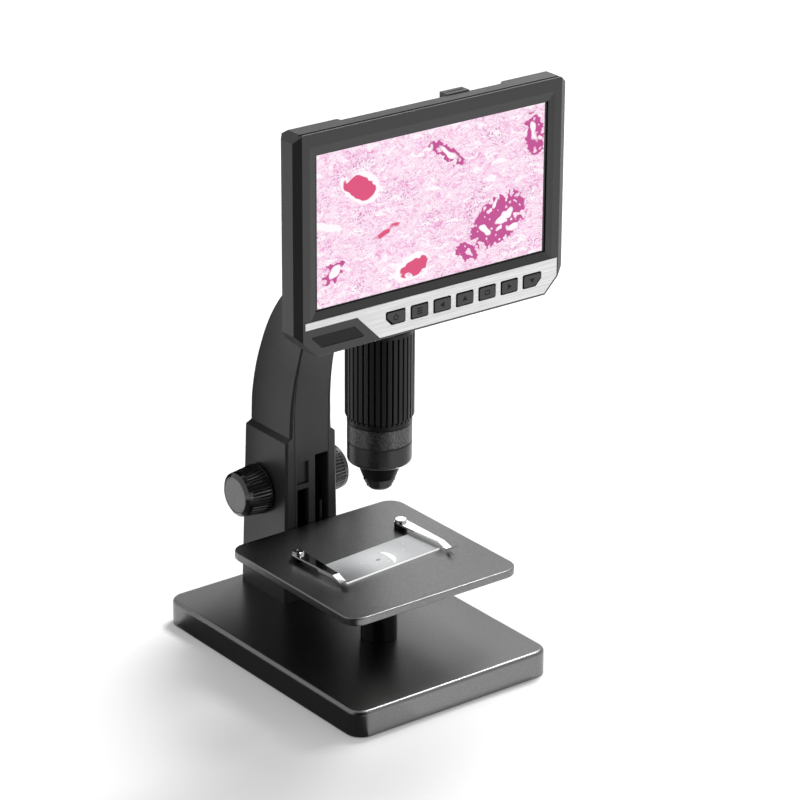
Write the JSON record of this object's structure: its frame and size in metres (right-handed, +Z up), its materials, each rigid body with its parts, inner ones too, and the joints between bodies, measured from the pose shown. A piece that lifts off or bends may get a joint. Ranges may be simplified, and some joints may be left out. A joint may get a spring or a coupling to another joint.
{
  "type": "lcd digital microscope",
  "caption": "Desktop digital microscope: tilting screen over a lens barrel on a curved arm, with a focusing stage, spring clips, lamp post and flat base.",
  "frame": {"origin": "centre of the base's footprint, on the table", "axes": "+X to the right when the screen is looked at, +Y to the back, +Z up; the screen faces -Y"},
  "size_m": [0.184, 0.1892, 0.3497],
  "materials": {
    "base_black": "satin",
    "cover_black": "matt",
    "rubber_black": "matt",
    "screw_steel": "machined",
    "ballast_iron": "rough",
    "board_green": "solder mask",
    "board_white": "matt",
    "post_black": "satin",
    "clear_lens": "clear",
    "arm_black": "satin",
    "brass": "machined",
    "carriage_black": "satin",
    "stage_black": "satin",
    "slide_glass": "frosted",
    "chrome": "polished",
    "shaft_steel": "ground",
    "knob_black": "satin",
    "disc_grey": "satin",
    "barrel_black": "satin",
    "grip_black": "satin",
    "grained_metal": "fine grain",
    "cap_black": "satin",
    "shell_grey": "matt",
    "bezel_grey": "matt",
    "screen_glass": "lit picture",
    "panel_metal": "plain",
    "brushed_strip": "horizontal brushing",
    "plate_black": "satin",
    "battery_blue": "wrapped",
    "block_grey": "matt",
    "key_grey": "matt"
  },
  "bodies": {
    "stand": {"base_plate": "base_black", "base_cover": "cover_black", "base_feet": "rubber_black", "base_screws": "screw_steel", "ballast": "ballast_iron", "power_board": "board_green", "lamp_post": "post_black", "lamp_board": "board_white", "lamp_lens": "clear_lens", "arm_column": "arm_black", "arm_rear_cover": "cover_black", "arm_screws": "screw_steel", "guide_strips": "brass", "shaft_bushes": "brass", "camera_tube": "barrel_black", "lens_carrier": "barrel_black", "grained_ring": "grained_metal", "plain_ring": "barrel_black", "barrel_cone": "barrel_black", "stepped_nose": "barrel_black", "lenses": "clear_lens", "sensor_board": "board_green", "tube_cap": "cap_black", "clamp_screw": "knob_black", "hinge_pin": "shaft_steel"},
    "stage": {"stage_carriage": "carriage_black", "rack": "brass", "stage_plate": "stage_black", "stage_screws": "screw_steel", "specimen_slide": "slide_glass", "clip_posts": "post_black", "clip_screws": "chrome"},
    "clip_left": {"clip_left": "chrome"},
    "clip_right": {"clip_right": "chrome"},
    "focus": {"focus_shaft": "shaft_steel", "pinion": "brass", "knob_left": "knob_black", "knob_right": "knob_black", "knob_discs": "disc_grey"},
    "grip": {"ribbed_grip": "grip_black"},
    "screen": {"screen_mount": "cap_black", "rear_shell": "shell_grey", "front_bezel": "bezel_grey", "picture_glass": "screen_glass", "picture_panel": "panel_metal", "fascia_strip": "brushed_strip", "blank_plate": "plate_black", "key_board": "board_green", "main_board": "board_green", "battery_pack": "battery_blue", "card_block": "block_grey", "housing_screws": "screw_steel"},
    "key_1": {"key_1": "key_grey"},
    "key_2": {"key_2": "key_grey"},
    "key_3": {"key_3": "key_grey"},
    "key_4": {"key_4": "key_grey"},
    "key_5": {"key_5": "key_grey"},
    "key_6": {"key_6": "key_grey"},
    "key_7": {"key_7": "key_grey"}
  },
  "joints": [
    {"name": "stage_slide", "type": "slide", "parent": "stand", "child": "stage", "axis": [0, 0, 1], "range_m": [-0.006, 0.03]},
    {"name": "focus_turn", "type": "hinge", "parent": "stand", "child": "focus", "pos_m": [0, 0.0682, 0.0823], "axis": [-1, 0, 0], "range_deg": [-75, 362]},
    {"name": "clip_left_turn", "type": "hinge", "parent": "stage", "child": "clip_left", "pos_m": [-0.037, 0.0056, 0.0686], "axis": [0, 0, 1], "range_deg": [-60, 25]},
    {"name": "clip_right_turn", "type": "hinge", "parent": "stage", "child": "clip_right", "pos_m": [0.037, 0.0056, 0.0686], "axis": [0, 0, 1], "range_deg": [-25, 60]},
    {"name": "grip_turn", "type": "hinge", "parent": "stand", "child": "grip", "pos_m": [0, -0.0225, 0.1806], "axis": [0, 0, 1], "range_deg": [-60, 60]},
    {"name": "screen_tilt", "type": "hinge", "parent": "stand", "child": "screen", "pos_m": [0, -0.041, 0.2621], "axis": [-1, 0, 0], "range_deg": [0, 30]},
    {"name": "key_1_press", "type": "slide", "parent": "screen", "child": "key_1", "axis": [0, 1, 0], "range_m": [0, 0.0006], "stiffness_N_per_m": 400},
    {"name": "key_2_press", "type": "slide", "parent": "screen", "child": "key_2", "axis": [0, 1, 0], "range_m": [0, 0.0006], "stiffness_N_per_m": 400},
    {"name": "key_3_press", "type": "slide", "parent": "screen", "child": "key_3", "axis": [0, 1, 0], "range_m": [0, 0.0006], "stiffness_N_per_m": 400},
    {"name": "key_4_press", "type": "slide", "parent": "screen", "child": "key_4", "axis": [0, 1, 0], "range_m": [0, 0.0006], "stiffness_N_per_m": 400},
    {"name": "key_5_press", "type": "slide", "parent": "screen", "child": "key_5", "axis": [0, 1, 0], "range_m": [0, 0.0006], "stiffness_N_per_m": 400},
    {"name": "key_6_press", "type": "slide", "parent": "screen", "child": "key_6", "axis": [0, 1, 0], "range_m": [0, 0.0006], "stiffness_N_per_m": 400},
    {"name": "key_7_press", "type": "slide", "parent": "screen", "child": "key_7", "axis": [0, 1, 0], "range_m": [0, 0.0006], "stiffness_N_per_m": 400}
  ],
  "couplings": [
    {"joint": "focus_turn", "follows": "stage_slide", "rad_per_m": 208.33}
  ]
}
